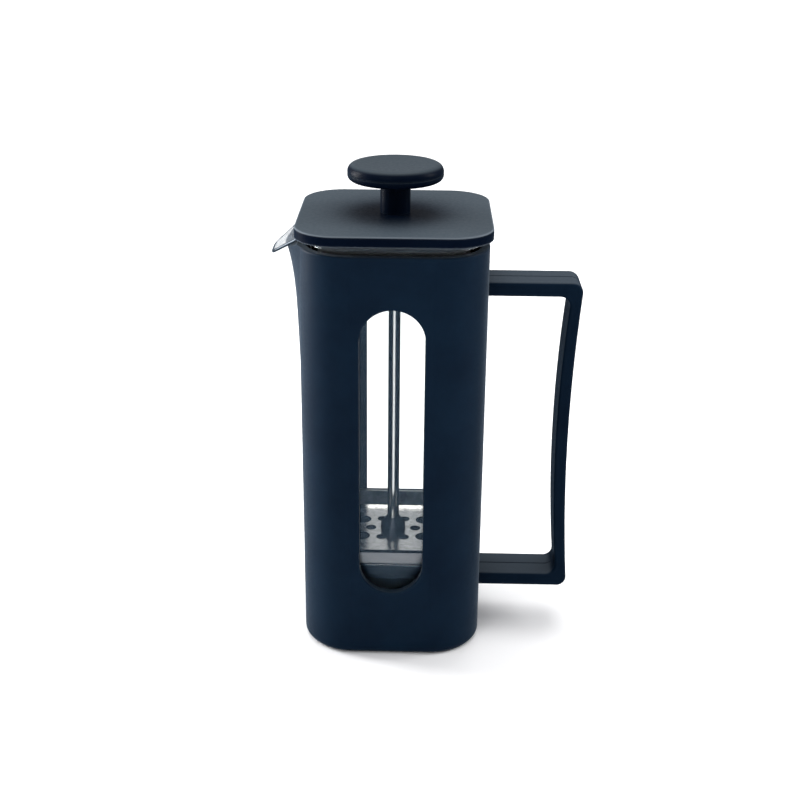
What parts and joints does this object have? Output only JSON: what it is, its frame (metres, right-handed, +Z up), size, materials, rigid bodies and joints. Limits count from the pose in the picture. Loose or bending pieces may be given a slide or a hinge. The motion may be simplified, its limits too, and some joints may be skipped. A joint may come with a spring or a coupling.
{
  "type": "french press",
  "caption": "Square french press: glass beaker with a pouring lip in a windowed plastic sleeve with a strap handle, flat lid and a knob-topped plunger with a sheet-steel filter.",
  "frame": {"origin": "centre of the sleeve's flat underside, on the plunger's axis", "axes": "+Z up along the plunger, +X towards the handle, -X towards the pouring lip"},
  "size_m": [0.1261, 0.0776, 0.2036],
  "materials": {
    "shell_plastic": "satin",
    "glass": "polished",
    "steel": "polished",
    "mesh_steel": "woven",
    "silicone": "matte",
    "bush_plastic": "satin",
    "brass": "machined"
  },
  "bodies": {
    "frame": {"sleeve": "shell_plastic", "handle": "shell_plastic", "beaker_seat": "silicone"},
    "beaker": {"beaker": "glass"},
    "lid": {"lid_cover": "shell_plastic", "lid_plug": "shell_plastic", "rod_bush": "bush_plastic"},
    "plunger": {"knob_body": "shell_plastic", "knob_cap": "shell_plastic", "knob_insert": "brass", "plunger_rod": "steel", "rod_collar": "steel", "filter_tray": "steel", "filter_mesh": "mesh_steel", "support_plate": "steel", "lock_washer": "steel", "cap_nut": "steel"}
  },
  "joints": [
    {"name": "beaker_lift", "type": "slide", "parent": "frame", "child": "beaker", "axis": [0, 0, 1], "range_m": [0, 0.178]},
    {"name": "lid_lift", "type": "slide", "parent": "beaker", "child": "lid", "axis": [0, 0, 1], "range_m": [0, 0.152]},
    {"name": "plunger_slide", "type": "slide", "parent": "lid", "child": "plunger", "axis": [0, 0, 1], "range_m": [0, 0.12]}
  ]
}
